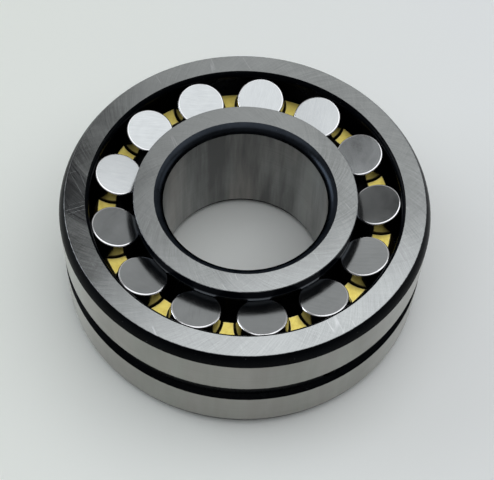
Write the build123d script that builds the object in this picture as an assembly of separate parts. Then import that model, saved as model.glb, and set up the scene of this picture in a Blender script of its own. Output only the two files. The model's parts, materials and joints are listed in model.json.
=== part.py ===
"""Spherical roller bearing, 40 mm bore, 90 mm outside diameter, 33 mm wide.

Two rows of barrel rollers run between an inner ring with one raceway per row and an outer
ring whose single raceway is part of a sphere, so the inner ring can swivel in the outer one.
A solid brass cage with prongs on both sides spaces the rollers, and a loose guide ring lies
between the rows.  All lengths are millimetres.  The origin is the middle of the bearing and
+Z is the bore's axis.  The rollers of each row are numbered clockwise, seen from +Z.
"""

import os
from math import cos, isclose, radians, sin, sqrt, tan

from build123d import *

# Boundary dimensions
BORE_RADIUS = 20.0
OUTSIDE_RADIUS = 45.0
WIDTH = 33.0
HALF_WIDTH = WIDTH / 2
EDGE_RADIUS = 0.15  # the rings' sharp edges are rounded to this

# Rollers and their rows
ROLLERS_PER_ROW = 13
FIRST_ROLLER_AZIMUTH = 113.5  # degrees from +X to upper roller 01
CONTACT_ANGLE = 14.0  # degrees between a roller's contact line and the bearing's middle plane
ROLLER_RADIUS = 6.25
ROLLER_LENGTH = 11.0
ROLLER_CORNER = 0.45  # radius between the barrel and the flat ends
RACEWAY_RADIUS = 40.6  # sphere of the outer raceway, and section radius of the inner raceways
BARREL_RADIUS = 39.8  # section radius of a roller's barrel, a little tighter than the raceways
RUNNING_GAP = 0.05  # between a roller and each raceway
RIB_GAP = 0.12  # between a roller's outer end and the inner ring's rib

# Outer ring
OUTER_FACE_OUTSIDE = 43.52  # radius where the side face meets the outside corner
OUTER_FACE_INSIDE = 38.56  # radius where the side face meets the rounded raceway edge
OUTER_CORNER_HEIGHT = 3.05  # length of the outside corner along the axis
OUTER_CORNER_BULGE = 0.22  # height of the corner's arc over its chord
RACEWAY_EDGE_HEIGHT = 14.95  # the spherical raceway ends this far from the middle plane
RACEWAY_EDGE_BULGE = 0.25
GROOVE_MOUTH = 5.8  # lubrication groove round the outside
GROOVE_FLOOR = 4.2
GROOVE_DEPTH = 1.2
LUBRICATION_HOLES = 3
LUBRICATION_HOLE_RADIUS = 1.5
FIRST_HOLE_AZIMUTH = 60.0  # degrees from +X

# Inner ring
BORE_CORNER = 2.16  # length of the rounded bore corner, along the face and along the bore
BORE_CORNER_BULGE = 0.5
RIB_RADIUS = 27.07
LAND_RADIUS = 28.9  # cylindrical land between the two raceways, which carries the guide ring
UNDERCUT_DEPTH = 0.2  # relief between the rib and the raceway
UNDERCUT_LENGTH = 0.45

# Guide ring
GUIDE_BORE_RADIUS = 29.0
GUIDE_OUTSIDE_RADIUS = 33.0
GUIDE_SIDE_GAP = 0.25  # between a roller's inner end and the ring's conical side, at mid roller

# Cage
CAGE_WEB_INSIDE = 33.15
CAGE_WEB_OUTSIDE = 37.6
PRONG_TIP_INSIDE = 31.5
PRONG_TIP_OUTSIDE = 36.1
PRONG_TIP_HEIGHT = 10.0
PRONG_EDGE_BREAK = 0.2  # chamfer round each prong's flat tip
POCKET_GAP = 0.25  # between a roller's barrel and its pocket
POCKET_FLOOR_GAP = 0.3  # between a roller's inner end and the pocket's floor

# Worked out from the dimensions above
SIN_TILT = sin(radians(CONTACT_ANGLE))
COS_TILT = cos(radians(CONTACT_ANGLE))
ROLLER_CENTRE_DISTANCE = RACEWAY_RADIUS - ROLLER_RADIUS - RUNNING_GAP  # from the origin
PITCH_RADIUS = ROLLER_CENTRE_DISTANCE * COS_TILT
ROW_HEIGHT = ROLLER_CENTRE_DISTANCE * SIN_TILT
ROLLER_PITCH = 360 / ROLLERS_PER_ROW
HALF_LENGTH = ROLLER_LENGTH / 2
TOUCHING = 1e-6  # points nearer than this are the same point

# A row's name, the side of the middle plane that it is on, and the azimuth of its roller 01.
# The lower row is set half a pitch further round than the upper row.
ROWS = (
    ("upper", 1, FIRST_ROLLER_AZIMUTH),
    ("lower", -1, FIRST_ROLLER_AZIMUTH - ROLLER_PITCH / 2),
)


def section_point(along, outward):
    """Radius and height of a point given from the centre of an upper roller.

    along is measured on the roller's axis towards the bearing's side face, outward is
    measured square to it, away from the bearing's axis.
    """
    radius = PITCH_RADIUS - along * SIN_TILT + outward * COS_TILT
    height = ROW_HEIGHT + along * COS_TILT + outward * SIN_TILT
    return (radius, height)


def inner_end_height(radius, gap):
    """Height, at one radius, of a line that lies a gap off the upper rollers' inner ends."""
    along = -(HALF_LENGTH + gap)
    outward = (radius - PITCH_RADIUS + along * SIN_TILT) / COS_TILT
    return section_point(along, outward)[1]


def arc_drop(radius, half_chord):
    """How far an arc falls away from its tangent at half a chord from the middle."""
    return radius - sqrt(radius**2 - half_chord**2)


def turned(upper_edges, closing_lines, rounded=()):
    """Solid of revolution from the upper half of a section, mirrored in the middle plane.

    The section's corners at the rounded points get the edge radius, above and below.
    """
    upper = Curve() + upper_edges
    outline = upper + mirror(upper, about=Plane.XZ) + list(closing_lines)
    section = make_face(Plane.XZ * outline)
    corners = [
        vertex
        for vertex in section.vertices()
        for radius, height in rounded
        if isclose(vertex.X, radius, abs_tol=TOUCHING)
        and isclose(abs(vertex.Z), height, abs_tol=TOUCHING)
    ]
    if corners:
        section = fillet(corners, EDGE_RADIUS)
    return revolve(section, Axis.Z)


def wall(radius, height):
    """Straight section line across the middle plane, from -height to +height."""
    return Line((radius, -height), (radius, height))


def outer_ring():
    """Ring with a spherical raceway, a groove round the outside and radial oil holes."""
    raceway_edge = (sqrt(RACEWAY_RADIUS**2 - RACEWAY_EDGE_HEIGHT**2), RACEWAY_EDGE_HEIGHT)
    face_inside = (OUTER_FACE_INSIDE, HALF_WIDTH)
    face_outside = (OUTER_FACE_OUTSIDE, HALF_WIDTH)
    corner_end = (OUTSIDE_RADIUS, HALF_WIDTH - OUTER_CORNER_HEIGHT)
    groove_mouth = (OUTSIDE_RADIUS, GROOVE_MOUTH / 2)
    groove_floor = (OUTSIDE_RADIUS - GROOVE_DEPTH, GROOVE_FLOOR / 2)
    upper_edges = [
        SagittaArc(raceway_edge, face_inside, RACEWAY_EDGE_BULGE),
        Line(face_inside, face_outside),
        SagittaArc(face_outside, corner_end, OUTER_CORNER_BULGE),
        Line(corner_end, groove_mouth),
        Line(groove_mouth, groove_floor),
    ]
    raceway = ThreePointArc(
        raceway_edge, (RACEWAY_RADIUS, 0), (raceway_edge[0], -RACEWAY_EDGE_HEIGHT)
    )
    edges = [raceway_edge, face_inside, face_outside, corner_end, groove_mouth]
    ring = turned(upper_edges, [raceway, wall(*groove_floor)], edges)
    hole = Rot(0, 90, 0) * Cylinder(
        LUBRICATION_HOLE_RADIUS, OUTSIDE_RADIUS, align=(Align.CENTER, Align.CENTER, Align.MIN)
    )
    for number in range(LUBRICATION_HOLES):
        ring -= Rot(0, 0, FIRST_HOLE_AZIMUTH + number * 360 / LUBRICATION_HOLES) * hole
    return ring


def inner_ring():
    """Ring with a cylindrical bore, two hollow raceways and a retaining rib on each side."""
    bore_end = (BORE_RADIUS, HALF_WIDTH - BORE_CORNER)
    face_inside = (BORE_RADIUS + BORE_CORNER, HALF_WIDTH)
    face_outside = (RIB_RADIUS, HALF_WIDTH)

    rib_along = HALF_LENGTH + RIB_GAP
    rib_outward = (RIB_RADIUS - PITCH_RADIUS + rib_along * SIN_TILT) / COS_TILT
    rib_tip = section_point(rib_along, rib_outward)

    raceway_outward = -(ROLLER_RADIUS + RUNNING_GAP)
    raceway_middle = section_point(0, raceway_outward)
    start_along = rib_along - UNDERCUT_LENGTH
    start_outward = raceway_outward + arc_drop(RACEWAY_RADIUS, start_along)
    raceway_start = section_point(start_along, start_outward)
    undercut_corner = section_point(start_along, start_outward - UNDERCUT_DEPTH)
    rib_root = section_point(rib_along, start_outward - UNDERCUT_DEPTH)

    arc_centre_radius, arc_centre_height = section_point(0, raceway_outward + RACEWAY_RADIUS)
    reach = sqrt(RACEWAY_RADIUS**2 - (arc_centre_radius - LAND_RADIUS) ** 2)
    land_edge = (LAND_RADIUS, arc_centre_height - reach)

    upper_edges = [
        SagittaArc(bore_end, face_inside, BORE_CORNER_BULGE),
        Line(face_inside, face_outside),
        Line(face_outside, rib_tip),
        Line(rib_tip, rib_root),
        Line(rib_root, undercut_corner),
        Line(undercut_corner, raceway_start),
        ThreePointArc(raceway_start, raceway_middle, land_edge),
    ]
    edges = [bore_end, face_inside, face_outside, rib_tip, land_edge]
    return turned(upper_edges, [wall(*bore_end), wall(*land_edge)], edges)


def guide_ring():
    """Loose ring between the rows, with side faces that lie along the rollers' inner ends."""
    bore_edge = (GUIDE_BORE_RADIUS, inner_end_height(GUIDE_BORE_RADIUS, GUIDE_SIDE_GAP))
    outside_edge = (GUIDE_OUTSIDE_RADIUS, inner_end_height(GUIDE_OUTSIDE_RADIUS, GUIDE_SIDE_GAP))
    walls = [wall(*bore_edge), wall(*outside_edge)]
    return turned([Line(bore_edge, outside_edge)], walls, [bore_edge, outside_edge])


def in_row(shape, side, azimuth):
    """Shape made along +Z about the origin, moved to a roller's place in its row."""
    return (
        Rot(0, 0, azimuth)
        * Pos(PITCH_RADIUS, 0, side * ROW_HEIGHT)
        * Rot(0, -side * CONTACT_ANGLE, 0)
        * shape
    )


def cage():
    """One-piece brass cage: a web between the rows, and a prong between every two rollers."""
    taper = tan(radians(CONTACT_ANGLE))
    inside_edge = (
        CAGE_WEB_INSIDE,
        PRONG_TIP_HEIGHT - (CAGE_WEB_INSIDE - PRONG_TIP_INSIDE) / taper,
    )
    outside_edge = (
        CAGE_WEB_OUTSIDE,
        PRONG_TIP_HEIGHT - (CAGE_WEB_OUTSIDE - PRONG_TIP_OUTSIDE) / taper,
    )
    tip_inside = (PRONG_TIP_INSIDE, PRONG_TIP_HEIGHT)
    tip_outside = (PRONG_TIP_OUTSIDE, PRONG_TIP_HEIGHT)
    upper_edges = [
        Line(inside_edge, tip_inside),
        Line(tip_inside, tip_outside),
        Line(tip_outside, outside_edge),
    ]
    blank = turned(upper_edges, [wall(*inside_edge), wall(*outside_edge)])

    pocket_depth = 2 * ROLLER_LENGTH
    pocket = Cylinder(
        ROLLER_RADIUS + POCKET_GAP, pocket_depth, align=(Align.CENTER, Align.CENTER, Align.MIN)
    )
    pocket = Pos(0, 0, -(HALF_LENGTH + POCKET_FLOOR_GAP)) * pocket
    pockets = []
    for _, side, first_azimuth in ROWS:
        facing = Rot(0 if side > 0 else 180, 0, 0)
        for number in range(ROLLERS_PER_ROW):
            azimuth = first_azimuth - number * ROLLER_PITCH
            pockets.append(in_row(facing * pocket, side, azimuth))
    body = blank - pockets

    prong_tips = body.faces().filter_by(Plane.XY)
    return chamfer(prong_tips.edges(), PRONG_EDGE_BREAK)


def roller():
    """Barrel roller along +Z about the origin."""
    barrel_end = HALF_LENGTH - ROLLER_CORNER
    barrel_end_radius = ROLLER_RADIUS - arc_drop(BARREL_RADIUS, barrel_end)
    barrel_edge = (barrel_end_radius, barrel_end)
    flat_edge = (barrel_end_radius - ROLLER_CORNER, HALF_LENGTH)
    corner_bulge = ROLLER_CORNER * (1 - cos(radians(45)))
    barrel = ThreePointArc(barrel_edge, (ROLLER_RADIUS, 0), (barrel_end_radius, -barrel_end))
    upper_edges = [
        Line((0, HALF_LENGTH), flat_edge),
        SagittaArc(flat_edge, barrel_edge, corner_bulge),
    ]
    return turned(upper_edges, [barrel, wall(0, HALF_LENGTH)])


def main():
    parts = {
        "outer_ring": outer_ring(),
        "inner_ring": inner_ring(),
        "guide_ring": guide_ring(),
        "cage": cage(),
    }
    one_roller = roller()
    for row, side, first_azimuth in ROWS:
        for number in range(ROLLERS_PER_ROW):
            azimuth = first_azimuth - number * ROLLER_PITCH
            parts[f"{row}_roller_{number + 1:02d}"] = in_row(one_roller, side, azimuth)

    os.makedirs("parts", exist_ok=True)
    for node, shape in parts.items():
        export_step(shape, f"parts/{node}.step")


main()
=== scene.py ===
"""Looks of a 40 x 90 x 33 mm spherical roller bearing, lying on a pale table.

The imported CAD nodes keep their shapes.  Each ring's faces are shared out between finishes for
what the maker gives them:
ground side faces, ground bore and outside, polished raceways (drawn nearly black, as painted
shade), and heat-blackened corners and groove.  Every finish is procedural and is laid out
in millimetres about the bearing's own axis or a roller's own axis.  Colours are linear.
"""

import json
import random
from collections import namedtuple
from math import cos, hypot, pi, radians, sin

import bpy
from mathutils import Matrix, Quaternion, Vector


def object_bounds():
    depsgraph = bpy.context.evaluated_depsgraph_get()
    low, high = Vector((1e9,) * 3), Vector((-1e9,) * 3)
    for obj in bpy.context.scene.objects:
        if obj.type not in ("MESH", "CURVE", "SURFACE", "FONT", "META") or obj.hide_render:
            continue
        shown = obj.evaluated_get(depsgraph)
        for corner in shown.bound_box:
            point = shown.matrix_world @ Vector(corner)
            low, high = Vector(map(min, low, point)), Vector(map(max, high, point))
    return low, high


MM = 0.001  # metres in a millimetre

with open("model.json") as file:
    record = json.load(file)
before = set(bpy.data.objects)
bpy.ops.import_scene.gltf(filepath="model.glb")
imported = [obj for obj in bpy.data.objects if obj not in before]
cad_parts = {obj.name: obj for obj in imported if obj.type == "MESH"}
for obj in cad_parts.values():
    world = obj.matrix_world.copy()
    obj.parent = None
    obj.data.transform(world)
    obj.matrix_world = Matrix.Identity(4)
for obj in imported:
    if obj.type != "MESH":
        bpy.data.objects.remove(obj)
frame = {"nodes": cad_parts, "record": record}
CAD_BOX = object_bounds()

# The bearing's own dimensions, in millimetres, that tell its finishes apart
HALF_WIDTH = round(CAD_BOX[1][2] / MM, 2)
OUTSIDE_RADIUS = round(CAD_BOX[1][0] / MM, 2)
OUTER_CORNER_RADIUS = 43.3  # the outer ring's corner and groove lie beyond this
RACEWAY_EDGE_HEIGHT = 14.9  # the outer raceway ends, and its rounded edge begins
BORE_RADIUS = 20.0
BORE_CORNER_RADIUS = 22.3  # the bore's corner lies inside this
RIB_RADIUS = 27.07
RIB_FOOT_HEIGHT = 12.4  # where the rib meets the inner raceway
RIB_REFLECTIVE_BAND_HEIGHT = 13.6  # the rib wall is reflective up to here, where it mirrors the roller ends; beyond it, it is painted shade
EDGE_RADIUS = 0.15  # of the rounding between a side face and its neighbour
ROLLER_FLAT_RADIUS = 5.42  # of a roller's flat end
ROLLER_BARREL_HALF = 4.95  # half the length of a roller's barrel
PRONG_END_HEIGHT = 10.0

# How near a facet has to lie to a surface to count as part of it, in millimetres
SIDE_FACE_TOLERANCE = 0.001
OUTSIDE_TOLERANCE = 0.03
BORE_TOLERANCE = 0.02
RIB_TOLERANCE = 0.2
PRONG_END_TOLERANCE = 0.05

# The share of a facet's normal that lies along the axis: more than the first on a flat end,
# and less than the second on a wall
END_FACING = 0.9
WALL_FACING = 0.2

# Marks of making and use
OUTER_SWEEP = 0.024  # radians a millimetre, of the grinding lines on a side face
INNER_SWEEP = -0.045
OUTER_LINES = 110.0  # how closely the grinding lines lie round a side face
INNER_LINES = 65.0
CAGE_SWEEP = 0.03
CAGE_LINES = 150.0
SCRATCH_HALF_WIDTH = 0.09  # millimetres
# Sets of parallel scratches: direction in radians, spacing in millimetres, and rarity
SCRATCH_SETS = ((2.1, 6.1, 0.61), (-1.15, 7.9, 0.59), (0.4, 11.0, 0.63))
SCRATCHES_AND_PAINTED_REFLECTION_AZIMUTH = 178.0  # degrees from +X, at the outer ring's outside: middle of the sector with a painted dark reflection and scratches all over
SCRATCHES_AND_PAINTED_REFLECTION_HALF_ANGLE = 9.0
SCRATCHES_AND_PAINTED_REFLECTION_FADE = 2.0  # degrees in which the painted dark reflection and the all-over scratches die away
STREAKS_AND_PAINTED_SHADE_CHOICE = 4.1  # picks the layout of the oil streaks, chosen so that the dark ones also paint the bore wall's shade
PRONG_EDGE_GLINT = 0.28  # width of the bright line along the cage's edges, in millimetres
LAPPING_SEED = 13  # picks the direction in which each roller's ends are lapped

# The table, in millimetres
TABLE_REACH = 3000.0
TABLE_GAP = 0.02  # keeps the table clear of the faces that rest on it

# The camera, in millimetres and degrees
CAMERA_AIM = (0.88, -2.24, 0.0)
CAMERA_DISTANCE = 330.99
CAMERA_ELEVATION = 57.47
CAMERA_ROLL = 3.21
CAMERA_LENS = 96.38
SENSOR_WIDTH = 36.0
NEAREST_SEEN = 10.0

# Where a facet lies: its middle's radius and height, its lowest corner's height, and the
# share of its normal along the axis. Heights count the same above and below the middle.
Spot = namedtuple("Spot", "radius height lowest facing")


class Finish:
    """A material under construction: its node tree, and short calls for the usual nodes.

    Places are in millimetres, so noise of them has about scale blots a millimetre.  Most of
    a noise's values lie between 0.3 and 0.7, and the bounds given to graded pick from those.
    """

    def __init__(self, name):
        self.material = bpy.data.materials.new(name)
        self.material.use_nodes = True
        self.nodes = self.material.node_tree.nodes
        self.links = self.material.node_tree.links
        self.surface = self.nodes["Principled BSDF"]

    def node(self, kind, *sources, **settings):
        """A new node. Its first inputs take the sources, which are sockets or values."""
        made = self.nodes.new("ShaderNode" + kind)
        for name, value in settings.items():
            setattr(made, name, value)
        for number, source in enumerate(sources):
            self.feed(made.inputs[number], source)
        return made

    def feed(self, socket, source):
        if isinstance(source, bpy.types.NodeSocket):
            self.links.new(source, socket)
        else:
            socket.default_value = source

    def maths(self, operation, *sources):
        return self.node("Math", *sources, operation=operation).outputs[0]

    def vector(self, operation, *sources):
        made = self.node("VectorMath", *sources, operation=operation)
        scalar = operation in ("LENGTH", "DOT_PRODUCT")
        return made.outputs["Value" if scalar else "Vector"]

    def scaled(self, vector, factor):
        made = self.node("VectorMath", vector, operation="SCALE")
        self.feed(made.inputs["Scale"], factor)
        return made.outputs["Vector"]

    def noise(self, vector, scale, detail=2.0, roughness=0.5, distortion=0.0):
        """Cloudy noise from 0 to 1; more detail adds finer blots, at roughness times the depth."""
        made = self.node("TexNoise", vector)
        for name, value in (
            ("Scale", scale),
            ("Detail", detail),
            ("Roughness", roughness),
            ("Distortion", distortion),
        ):
            made.inputs[name].default_value = value
        return made.outputs["Fac"]

    def stretched(self, vector, scales, detail=2.0, roughness=0.5):
        """Noise with a scale of its own along each of X, Y and Z."""
        return self.noise(self.vector("MULTIPLY", vector, scales), 1.0, detail, roughness)

    def graded(self, value, low, high, to_low=0.0, to_high=1.0):
        """value's range from low to high, spread over to_low to to_high and held beyond."""
        made = self.node("MapRange", value, low, high, to_low, to_high)
        return made.outputs["Result"]

    def blend(self, share, first, second):
        made = self.node("Mix", data_type="RGBA")
        for name, source in (("Factor", share), ("A", first), ("B", second)):
            sockets = [s for s in made.inputs if s.name == name and s.enabled]
            self.feed(sockets[0], source)
        return [s for s in made.outputs if s.enabled][0]

    def bumped(self, height, depth):
        """A normal from a height between 0 and 1 that stands for a depth in millimetres."""
        made = self.node("Bump")
        made.inputs["Strength"].default_value = 1.0
        made.inputs["Distance"].default_value = depth * MM
        self.feed(made.inputs["Height"], height)
        return made.outputs["Normal"]

    def place(self):
        """The point being shaded, in millimetres in the bearing's frame."""
        point = self.node("TexCoord").outputs["Object"]
        return self.scaled(point, 1 / MM)

    def part(self, vector, axis):
        """The X, Y or Z of a vector."""
        return self.node("SeparateXYZ", vector).outputs[axis]

    def round_the_axis(self):
        """The direction round the bearing's axis, for gloss stretched by turned lines."""
        return self.node("Tangent", direction_type="RADIAL", axis="Z").outputs["Tangent"]

    def set(self, **values):
        """Sockets of the surface shader, by name with underscores for the spaces."""
        for name, value in values.items():
            self.feed(self.surface.inputs[name.replace("_", " ")], value)


def turned_about_axis(finish, place, twist):
    """Unit direction from the axis, wound on by twist radians a millimetre, and the radius."""
    flat = finish.vector("MULTIPLY", place, (1, 1, 0))
    radius = finish.vector("LENGTH", flat)
    direction = finish.vector("NORMALIZE", flat)
    wound = finish.node("VectorRotate", direction, rotation_type="Z_AXIS")
    finish.feed(wound.inputs["Angle"], finish.maths("MULTIPLY", radius, twist))
    return wound.outputs["Vector"], radius


def swept_lines(finish, place, twist, lines, along):
    """Fine lines that sweep out from the axis, as a cup wheel leaves on a ring's face.

    Each fades and comes back as it runs outwards, about along times in a millimetre.
    """
    direction, radius = turned_about_axis(finish, place, twist)
    spun = finish.scaled(direction, lines)
    run = finish.node("CombineXYZ", 0.0, 0.0, finish.maths("MULTIPLY", radius, along))
    swept = finish.vector("ADD", spun, run.outputs["Vector"])
    return finish.noise(swept, 1.0, detail=3.0, roughness=0.6)


def scratches(finish, place, direction, spacing, rarity, everywhere):
    """Long, nearly straight scratches along a direction in radians: 1 on one, 0 elsewhere.

    Only patches of them are there, fewer the higher the rarity, apart from where everywhere
    is 1.
    """
    turned = finish.node("VectorRotate", place, rotation_type="Z_AXIS")
    turned.inputs["Angle"].default_value = -direction
    level = finish.part(turned.outputs["Vector"], "Y")
    wander = finish.stretched(turned.outputs["Vector"], (0.008, 0.30, 0.0), detail=0.0)
    uneven = finish.maths("MULTIPLY_ADD", wander, 1.5 * spacing, level)
    phase = finish.maths("FRACT", finish.maths("DIVIDE", uneven, spacing))
    away = finish.maths("ABSOLUTE", finish.maths("SUBTRACT", phase, 0.5))
    line = finish.graded(away, 0.0, SCRATCH_HALF_WIDTH / spacing, 1.0, 0.0)
    # Far-off noise, so that each direction has its own patches
    apart = finish.vector("ADD", place, (0.0, 0.0, 40.0 * direction))
    patches = finish.noise(apart, 0.16, detail=1.0)
    chosen = finish.graded(patches, rarity, rarity + 0.05)
    return finish.maths("MULTIPLY", line, finish.maths("MAXIMUM", chosen, everywhere))


def scratches_and_painted_reflection_sector(finish, place):
    """1 in a sector of the outer ring's upper face with a painted dark reflection and scratches
    all over, 0 elsewhere.
    """
    direction, _ = turned_about_axis(finish, place, OUTER_SWEEP)
    middle = radians(SCRATCHES_AND_PAINTED_REFLECTION_AZIMUTH) + OUTER_SWEEP * OUTSIDE_RADIUS
    facing = finish.vector("DOT_PRODUCT", direction, (cos(middle), sin(middle), 0.0))
    sector = finish.graded(
        facing, cos(radians(SCRATCHES_AND_PAINTED_REFLECTION_HALF_ANGLE + SCRATCHES_AND_PAINTED_REFLECTION_FADE)), cos(radians(SCRATCHES_AND_PAINTED_REFLECTION_HALF_ANGLE))
    )
    upper = finish.maths("GREATER_THAN", finish.part(place, "Z"), 0.0)
    return finish.maths("MULTIPLY", sector, upper)


def ground_face(name, sweep, lines, scratches_and_painted_reflection_by=None):
    """Side face of a ring: satin steel with slanting grinding lines and a few scratches.

    The last argument gives the share of painted dark reflection and of all-over scratches at a
    place, on a face that has some.
    """
    finish = Finish(name)
    place = finish.place()
    fine = swept_lines(finish, place, sweep, lines, 0.25)
    crossing = swept_lines(finish, place, -sweep, 0.8 * lines, 0.2)
    broad = swept_lines(finish, place, sweep, 0.15 * lines, 0.08)
    cloud = finish.noise(place, 0.07, detail=3.0)
    # Share of the sector with a painted dark reflection and scratches all over
    scratches_and_painted_reflection = scratches_and_painted_reflection_by(finish, place) if scratches_and_painted_reflection_by else 0.0

    grooves = finish.maths("MULTIPLY_ADD", fine, 0.65, finish.maths("MULTIPLY", crossing, 0.35))
    tone = finish.graded(grooves, 0.36, 0.64)
    steel = finish.blend(tone, (0.315, 0.32, 0.322, 1), (0.435, 0.44, 0.442, 1))
    darker = finish.graded(broad, 0.4, 0.65, 0.0, 0.3)
    steel = finish.blend(darker, steel, (0.30, 0.302, 0.31, 1))
    lighter = finish.graded(cloud, 0.38, 0.62, 0.0, 0.4)
    steel = finish.blend(lighter, steel, (0.47, 0.475, 0.48, 1))
    # Painted dark reflection over that sector, deeper where the grinding lines are darker
    painted_dark_reflection = finish.maths("MULTIPLY", scratches_and_painted_reflection, finish.graded(fine, 0.35, 0.6, 0.8, 0.4))
    steel = finish.blend(painted_dark_reflection, steel, (0.07, 0.072, 0.08, 1))
    # Scratches are lighter in that sector, and lie all over it
    bright = finish.blend(scratches_and_painted_reflection, (0.50, 0.50, 0.51, 1), (0.85, 0.85, 0.87, 1))
    for direction, spacing, rarity in SCRATCH_SETS:
        marks = scratches(finish, place, direction, spacing, rarity, scratches_and_painted_reflection)
        steel = finish.blend(marks, steel, bright)
    roughness = finish.graded(cloud, 0.3, 0.7, 0.11, 0.16)
    finish.set(
        Base_Color=steel,
        Metallic=1.0,
        Roughness=finish.maths("MULTIPLY_ADD", tone, 0.04, roughness),
        Anisotropic=0.35,
        Normal=finish.bumped(grooves, 0.003),
        Tangent=finish.round_the_axis(),
    )
    return finish.material


def ground_cylinder(name, light, warm, dark, streaks_and_painted_shade_share, roughness):
    """Cylinder ground round its girth: fine lines round it, and oil streaks along it, which on the
    bore also stand in as painted shade.
    """
    finish = Finish(name)
    place = finish.place()
    round_lines = finish.stretched(place, (0.05, 0.05, 6.0), detail=3.0, roughness=0.6)
    drawn = finish.vector("MULTIPLY_ADD", place, (0.10, 0.10, 0.010), (0.0, 0.0, STREAKS_AND_PAINTED_SHADE_CHOICE))
    streaks_and_painted_shade = finish.noise(drawn, 1.0, detail=5.0, roughness=0.62)
    tint = finish.stretched(place, (0.09, 0.09, 0.02))
    cloud = finish.noise(place, 0.12)
    steel = finish.blend(finish.graded(tint, 0.4, 0.6), light, warm)
    steel = finish.blend(finish.graded(round_lines, 0.3, 0.7, 0.35, 0.0), steel, dark)
    # Dark streaks: oil streaks, and on the bore wall painted shade as well
    steel = finish.blend(finish.graded(streaks_and_painted_shade, 0.38, 0.62, 0.0, streaks_and_painted_shade_share), steel, dark)
    finish.set(
        Base_Color=steel,
        Metallic=1.0,
        Roughness=finish.graded(cloud, 0.3, 0.7, roughness, roughness + 0.08),
        Anisotropic=0.9,
        Anisotropic_Rotation=0.25,
        Coat_Weight=0.8,
        Coat_Roughness=0.25,
        Normal=finish.bumped(round_lines, 0.003),
        Tangent=finish.round_the_axis(),
    )
    return finish.material


def blackened(name, dark, light, **gloss):
    """Steel left black from the heat treatment, turned and not ground."""
    finish = Finish(name)
    place = finish.place()
    turning = finish.stretched(place, (0.04, 0.04, 9.0))
    patches = finish.noise(place, 0.22, detail=4.0, roughness=0.6)
    specks = finish.graded(finish.noise(place, 3.2), 0.74, 0.78)
    black = finish.blend(finish.graded(patches, 0.35, 0.7), dark, light)
    black = finish.blend(finish.maths("MULTIPLY", specks, 0.4), black, (0.3, 0.3, 0.31, 1))
    finish.set(
        Base_Color=black,
        Roughness=finish.graded(patches, 0.3, 0.7, 0.22, 0.34),
        Normal=finish.bumped(turning, 0.004),
        **gloss,
    )
    return finish.material


def rubbed_edge():
    """Edge that grinding and handling have rubbed bright."""
    finish = Finish("rubbed_edge")
    worn = finish.noise(finish.place(), 1.6, detail=3.0)
    share = finish.graded(worn, 0.35, 0.65)
    finish.set(
        Base_Color=finish.blend(share, (0.12, 0.125, 0.13, 1), (0.32, 0.32, 0.33, 1)),
        Metallic=1.0,
        Roughness=finish.graded(worn, 0.3, 0.7, 0.4, 0.3),
    )
    return finish.material


def raceway_painted_shade():
    """Raceway: honed steel under a film of oil that gives it uneven gloss, painted nearly black as
    the shade deep inside the bearing.
    """
    finish = Finish("raceway_painted_shade_steel")
    place = finish.place()
    honing = finish.stretched(place, (0.05, 0.05, 8.0))
    film = finish.noise(place, 0.15, detail=3.0)
    share = finish.graded(honing, 0.3, 0.7)
    finish.set(
        # Painted shade: nearly black steel, for the shade deep inside the bearing
        Base_Color=finish.blend(share, (0.03, 0.033, 0.04, 1), (0.06, 0.066, 0.08, 1)),
        Metallic=1.0,
        Roughness=finish.graded(film, 0.3, 0.7, 0.22, 0.30),
        Normal=finish.bumped(honing, 0.002),
    )
    return finish.material


def rib_wall():
    """Outside of the inner ring's rib: near-black with almost no gloss as painted shade, and
    reflective low down, where it mirrors the roller ends.
    """
    finish = Finish("rib_wall")
    place = finish.place()
    height = finish.maths("ABSOLUTE", finish.part(place, "Z"))
    turning = finish.stretched(place, (0.04, 0.04, 7.0))
    wander = finish.maths("MULTIPLY_ADD", finish.noise(place, 0.4), 0.3, height)
    reflective_band = finish.graded(
        wander, RIB_REFLECTIVE_BAND_HEIGHT - 0.3, RIB_REFLECTIVE_BAND_HEIGHT + 0.3, 1.0, 0.0
    )
    # Painted shade: near-black with almost no gloss, above the reflective band low down
    finish.set(
        Base_Color=finish.blend(reflective_band, (0.0025, 0.0035, 0.006, 1), (0.08, 0.088, 0.10, 1)),
        Metallic=reflective_band,
        Roughness=finish.graded(turning, 0.3, 0.7, 0.16, 0.24),
        Specular_IOR_Level=0.004,
        Normal=finish.bumped(turning, 0.003),
    )
    return finish.material


def about_roller_axis(finish, place):
    """The point being shaded, about its roller's own axis: across, along and up, in mm."""
    read = {}
    for name in ("roller_centre", "roller_across", "roller_along", "roller_axis"):
        source = finish.node("Attribute", attribute_type="OBJECT", attribute_name=name)
        read[name] = source.outputs["Vector"]
    offset = finish.vector("SUBTRACT", place, read["roller_centre"])
    local = finish.node(
        "CombineXYZ",
        finish.vector("DOT_PRODUCT", offset, read["roller_across"]),
        finish.vector("DOT_PRODUCT", offset, read["roller_along"]),
        finish.vector("DOT_PRODUCT", offset, read["roller_axis"]),
    )
    return local.outputs["Vector"]


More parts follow.
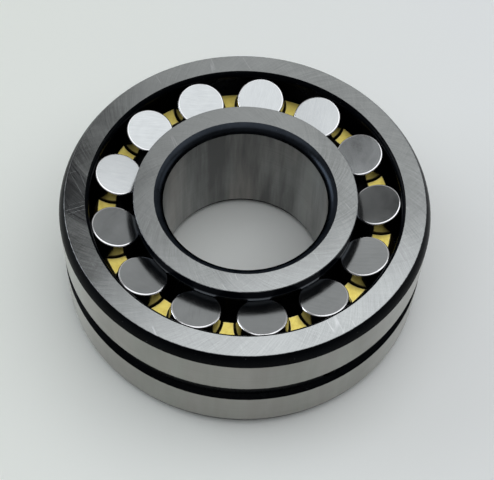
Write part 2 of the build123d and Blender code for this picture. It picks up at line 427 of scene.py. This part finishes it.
def roller_steel():
    """Roller: lapped ends with fine straight lines, a painted highlight round the corners, and a
    darker barrel.
    """
    finish = Finish("roller_polished_steel")
    local = about_roller_axis(finish, finish.place())
    # Each roller reads its noise from a place of its own
    own = finish.maths("MULTIPLY", finish.node("ObjectInfo").outputs["Random"], 80.0)
    shift = finish.node("CombineXYZ", own, 0.0, 0.0)
    varied = finish.vector("ADD", local, shift.outputs["Vector"])
    brushed = finish.stretched(varied, (9.0, 0.25, 0.25), detail=3.0, roughness=0.6)
    smear = finish.noise(varied, 0.2, detail=3.0, distortion=1.0)
    tone = finish.maths("MULTIPLY_ADD", brushed, 0.6, finish.maths("MULTIPLY", smear, 0.4))
    share = finish.graded(tone, 0.38, 0.62)
    steel = finish.blend(share, (0.45, 0.455, 0.465, 1), (0.51, 0.515, 0.525, 1))
    # Painted highlight: a bright rim round the roller's rounded corner
    out = finish.vector("LENGTH", finish.vector("MULTIPLY", local, (1, 1, 0)))
    painted_rim_highlight = finish.graded(out, ROLLER_FLAT_RADIUS, ROLLER_FLAT_RADIUS + 0.08)
    steel = finish.blend(painted_rim_highlight, steel, (0.80, 0.78, 0.80, 1))
    along = finish.maths("ABSOLUTE", finish.part(local, "Z"))
    barrel = finish.graded(along, ROLLER_BARREL_HALF, ROLLER_BARREL_HALF + 0.1, 1.0, 0.0)
    steel = finish.blend(barrel, steel, (0.22, 0.22, 0.235, 1))
    finish.set(
        Base_Color=steel,
        Metallic=1.0,
        Roughness=finish.graded(smear, 0.3, 0.7, 0.16, 0.20),
        Anisotropic=0.2,
        Normal=finish.bumped(brushed, 0.0012),
    )
    return finish.material


def machined_brass(name, light, dark, tarnished, tarnish_share):
    """Brass with fine machining lines, tarnished in patches, and bright along its edges."""
    finish = Finish(name)
    place = finish.place()
    milled = swept_lines(finish, place, CAGE_SWEEP, CAGE_LINES, 0.2)
    cloud = finish.noise(place, 0.3, detail=3.0)
    tarnish = finish.noise(place, 0.9, detail=4.0, roughness=0.65)
    brass = finish.blend(finish.graded(milled, 0.3, 0.7), dark, light)
    browned = finish.graded(tarnish, 0.45, 0.75, 0.0, tarnish_share)
    brass = finish.blend(browned, brass, tarnished)
    # The rounded normal turns away from the true one near an edge
    rounded = finish.node("Bevel", PRONG_EDGE_GLINT * MM).outputs["Normal"]
    true_normal = finish.node("NewGeometry").outputs["Normal"]
    alike = finish.vector("DOT_PRODUCT", rounded, true_normal)
    glint = finish.graded(alike, 0.85, 0.99, 0.8, 0.0)
    finish.set(
        Base_Color=finish.blend(glint, brass, (1.0, 0.93, 0.62, 1)),
        Metallic=1.0,
        Roughness=finish.graded(cloud, 0.3, 0.7, 0.34, 0.44),
        Normal=finish.bumped(milled, 0.003),
    )
    return finish.material


def dark_iron():
    """Guide ring: sintered iron, matt and dark."""
    finish = Finish("guide_iron")
    grain = finish.noise(finish.place(), 4.0, detail=3.0)
    finish.set(
        Base_Color=finish.blend(grain, (0.05, 0.05, 0.052, 1), (0.13, 0.13, 0.13, 1)),
        Metallic=0.8,
        Roughness=finish.graded(grain, 0.3, 0.7, 0.4, 0.6),
        Normal=finish.bumped(grain, 0.01),
    )
    return finish.material


def share_faces(node, finishes, choose):
    """Gives each facet of a node the finish that choose names from where the facet lies."""
    mesh = frame["nodes"][node].data
    mesh.materials.clear()
    names = list(finishes)
    for name in names:
        mesh.materials.append(finishes[name])
    for facet in mesh.polygons:
        centre = facet.center / MM
        corners = [mesh.vertices[v].co / MM for v in facet.vertices]
        spot = Spot(
            radius=hypot(centre.x, centre.y),
            height=abs(centre.z),
            lowest=min(abs(corner.z) for corner in corners),
            facing=abs(facet.normal.z),
        )
        facet.material_index = names.index(choose(spot))


def outer_ring_finish(spot):
    if spot.lowest > HALF_WIDTH - SIDE_FACE_TOLERANCE:
        return "face"
    if spot.height > HALF_WIDTH - EDGE_RADIUS and spot.radius > OUTER_CORNER_RADIUS:
        return "edge"
    if spot.radius > OUTSIDE_RADIUS - OUTSIDE_TOLERANCE:
        return "outside"
    if spot.radius > OUTER_CORNER_RADIUS or spot.height > RACEWAY_EDGE_HEIGHT:
        return "corner"
    return "raceway"


def inner_ring_finish(spot):
    if spot.lowest > HALF_WIDTH - SIDE_FACE_TOLERANCE:
        return "face"
    if spot.height > HALF_WIDTH - EDGE_RADIUS and spot.radius > RIB_RADIUS - 2 * EDGE_RADIUS:
        return "edge"
    if spot.radius < BORE_RADIUS + BORE_TOLERANCE:
        return "bore"
    if spot.radius < BORE_CORNER_RADIUS:
        return "corner"
    upright = spot.facing < WALL_FACING
    if spot.height > RIB_FOOT_HEIGHT and spot.radius > RIB_RADIUS - RIB_TOLERANCE and upright:
        return "rib"
    return "raceway"


def cage_finish(spot):
    high = spot.height > PRONG_END_HEIGHT - PRONG_END_TOLERANCE
    return "end" if high and spot.facing > END_FACING else "pocket"


def dress_outer_ring(edge, raceway):
    finishes = {
        "face": ground_face("ground_outer_side_face", OUTER_SWEEP, OUTER_LINES, scratches_and_painted_reflection_sector),
        "edge": edge,
        "corner": blackened(
            "blackened_corner",
            dark=(0.0006, 0.0009, 0.0016, 1),
            light=(0.0012, 0.0018, 0.003, 1),
            Metallic=0.0,
            Specular_IOR_Level=0.035,
        ),
        "raceway": raceway,
        "outside": ground_cylinder(
            "ground_outside",
            light=(0.33, 0.335, 0.30, 1),
            warm=(0.34, 0.325, 0.30, 1),
            dark=(0.22, 0.215, 0.19, 1),
            streaks_and_painted_shade_share=0.5,
            roughness=0.34,
        ),
    }
    share_faces("outer_ring", finishes, outer_ring_finish)


def dress_inner_ring(edge, raceway):
    finishes = {
        "face": ground_face("ground_inner_side_face", INNER_SWEEP, INNER_LINES),
        "edge": edge,
        "corner": blackened(
            "blackened_bore_corner",
            dark=(0.016, 0.019, 0.024, 1),
            light=(0.026, 0.03, 0.038, 1),
            Metallic=1.0,
            Specular_Tint=(0.15, 0.16, 0.18, 1),
        ),
        "raceway": raceway,
        "bore": ground_cylinder(
            "ground_bore",
            light=(0.37, 0.38, 0.37, 1),
            warm=(0.39, 0.365, 0.34, 1),
            dark=(0.08, 0.08, 0.078, 1),
            streaks_and_painted_shade_share=0.95,
            roughness=0.32,
        ),
        "rib": rib_wall(),
    }
    share_faces("inner_ring", finishes, inner_ring_finish)


def dress_cage():
    """Brass, turned bright on the prongs' ends, and darker and browner everywhere else, partly as
    painted shade on the deeper surfaces.
    """
    finishes = {
        "end": machined_brass(
            "turned_brass",
            light=(0.95, 0.79, 0.24, 1),
            dark=(0.87, 0.68, 0.15, 1),
            tarnished=(0.64, 0.45, 0.07, 1),
            tarnish_share=0.5,
        ),
        # Darker brass: duller unturned surfaces, and painted shade on these deeper surfaces
        "pocket": machined_brass(
            "pocket_brass_partly_painted_shade",
            light=(0.56, 0.42, 0.13, 1),
            dark=(0.36, 0.25, 0.06, 1),
            tarnished=(0.15, 0.09, 0.03, 1),
            tarnish_share=0.7,
        ),
    }
    share_faces("cage", finishes, cage_finish)


def dress_whole(node, material):
    mesh = frame["nodes"][node].data
    mesh.materials.clear()
    mesh.materials.append(material)


def dress_rollers():
    """Gives every roller the shared finish, and its own centre, axis and lapping direction."""
    steel = roller_steel()
    chance = random.Random(LAPPING_SEED)
    for joint in frame["record"]["behaviour"]["joints"]:
        if "roller" not in joint["child"]:
            continue
        axis = Vector(joint["axis"])
        turn = Matrix.Rotation(chance.uniform(0, pi), 3, axis)
        across = turn @ axis.orthogonal().normalized()
        roller = frame["nodes"][joint["child"]]
        roller["roller_centre"] = list(Vector(joint["pos_m"]) / MM)
        roller["roller_axis"] = list(axis)
        roller["roller_across"] = list(across)
        roller["roller_along"] = list(axis.cross(across))
        dress_whole(joint["child"], steel)


def pale_table():
    """Matt table top, a little greener on one side and pinker on the other."""
    finish = Finish("pale_table")
    place = finish.place()
    wander = finish.noise(place, 0.02)
    side = finish.maths("MULTIPLY_ADD", wander, 40.0, finish.part(place, "X"))
    share = finish.graded(side, -60.0, 100.0)
    grain = finish.noise(place, 0.5, detail=4.0, roughness=0.6)
    finish.set(
        Base_Color=finish.blend(share, (0.92, 0.925, 0.88, 1), (0.915, 0.91, 0.92, 1)),
        Roughness=finish.graded(grain, 0.3, 0.7, 0.5, 0.6),
        Normal=finish.bumped(grain, 0.01),
    )
    return finish.material


def add_table():
    reach = TABLE_REACH * MM
    height = -(HALF_WIDTH + TABLE_GAP) * MM
    mesh = bpy.data.meshes.new("table")
    corners = [(-reach, -reach), (reach, -reach), (reach, reach), (-reach, reach)]
    mesh.from_pydata([(x, y, height) for x, y in corners], [], [(0, 1, 2, 3)])
    mesh.materials.append(pale_table())
    table = bpy.data.objects.new("table", mesh)
    bpy.context.scene.collection.objects.link(table)


def add_softbox(name, centre, facing, size, radiance, colour, spin=0.0):
    """Oval soft light, in metres, that faces along a direction, spun about it in degrees.

    Its brightness is the same over its whole face, whatever its size.
    """
    light = bpy.data.lights.new(name, "AREA")
    light.shape = "ELLIPSE"
    light.size, light.size_y = size
    area = pi / 4 * size[0] * size[1]
    light.energy = radiance * pi * area
    light.color = colour
    holder = bpy.data.objects.new(name, light)
    holder.location = centre
    spun = Quaternion((0, 0, 1), radians(spin))
    holder.rotation_euler = (Vector(facing).to_track_quat("-Z", "Y") @ spun).to_euler()
    bpy.context.scene.collection.objects.link(holder)


def add_softboxes():
    add_softbox(
        "overhead",
        centre=(0.24, -0.12, 1.0),
        facing=(0, 0, -1),
        size=(2.0, 1.42),
        radiance=0.88,
        colour=(0.94, 0.98, 1.0),
        spin=30.0,
    )
    add_softbox(
        "window",
        centre=(-1.25, 0.28, 0.42),
        facing=(1, -0.22, -0.2),
        size=(1.1, 0.6),
        radiance=3.6,
        colour=(0.86, 0.94, 1.0),
    )
    add_softbox(
        "far_window",
        centre=(1.3, 0.3, 0.42),
        facing=(-1, -0.22, -0.2),
        size=(1.0, 0.6),
        radiance=0.9,
        colour=(0.9, 0.96, 1.0),
    )


def add_world():
    """Dim room, darker on the -Y side, with a brighter ceiling.

    The shades are dark things overhead, which some of the polished roller ends mirror.
    """
    world = bpy.data.worlds.new("room")
    bpy.context.scene.world = world
    world.use_nodes = True
    nodes = world.node_tree.nodes
    links = world.node_tree.links
    direction = nodes.new("ShaderNodeTexCoord").outputs["Generated"]

    def lobe(towards, from_cosine, to_cosine, from_value, to_value):
        """A value that changes smoothly with the angle from one direction."""
        facing = nodes.new("ShaderNodeVectorMath")
        facing.operation = "DOT_PRODUCT"
        links.new(direction, facing.inputs[0])
        facing.inputs[1].default_value = Vector(towards).normalized()
        graded = nodes.new("ShaderNodeMapRange")
        graded.interpolation_type = "SMOOTHSTEP"
        graded.inputs["From Min"].default_value = from_cosine
        graded.inputs["From Max"].default_value = to_cosine
        graded.inputs["To Min"].default_value = from_value
        graded.inputs["To Max"].default_value = to_value
        links.new(facing.outputs["Value"], graded.inputs["Value"])
        return graded.outputs["Result"]

    def product(first, second):
        made = nodes.new("ShaderNodeMath")
        made.operation = "MULTIPLY"
        links.new(first, made.inputs[0])
        links.new(second, made.inputs[1])
        return made.outputs[0]

    # Direction, the cosines between which the value changes, and the values at those
    room = lobe((0, 1, 0), -0.5, 0.6, 0.20, 0.40)
    ceiling = lobe((0, 0.2, 1), 0.66, 0.9, 1.0, 1.75)
    middle_shade = lobe((-0.27, 0.69, 1), 0.9865, 0.9955, 1.0, 0.0)
    left_shade = lobe((-0.34, 0.42, 1), 0.98, 0.993, 1.0, 0.25)
    right_shade = lobe((0.40, 0.92, 1), 0.98, 0.993, 1.0, 0.45)
    strength = room
    for factor in (ceiling, middle_shade, left_shade, right_shade):
        strength = product(strength, factor)
    background = nodes["Background"]
    background.inputs["Color"].default_value = (0.965, 1.0, 0.99, 1)
    links.new(strength, background.inputs["Strength"])


def add_camera():
    elevation = radians(CAMERA_ELEVATION)
    roll = radians(CAMERA_ROLL)
    forward = Vector((0, cos(elevation), -sin(elevation)))
    level = Vector((1, 0, 0))
    upright = level.cross(forward)
    right = level * cos(roll) + upright * sin(roll)
    up = upright * cos(roll) - level * sin(roll)
    data = bpy.data.cameras.new("camera")
    data.lens = CAMERA_LENS
    data.sensor_width = SENSOR_WIDTH
    data.clip_start = NEAREST_SEEN * MM
    camera = bpy.data.objects.new("camera", data)
    turn = Matrix((right, up, -forward)).transposed()
    aim = Vector(CAMERA_AIM)
    camera.matrix_world = Matrix.LocRotScale(
        (aim - forward * CAMERA_DISTANCE) * MM, turn.to_quaternion(), None
    )
    bpy.context.scene.collection.objects.link(camera)
    bpy.context.scene.camera = camera


def main():
    bpy.context.scene.view_settings.view_transform = "Standard"
    edge = rubbed_edge()
    raceway = raceway_painted_shade()
    dress_outer_ring(edge, raceway)
    dress_inner_ring(edge, raceway)
    dress_rollers()
    dress_cage()
    dress_whole("guide_ring", dark_iron())
    add_table()
    add_softboxes()
    add_world()
    add_camera()


main()
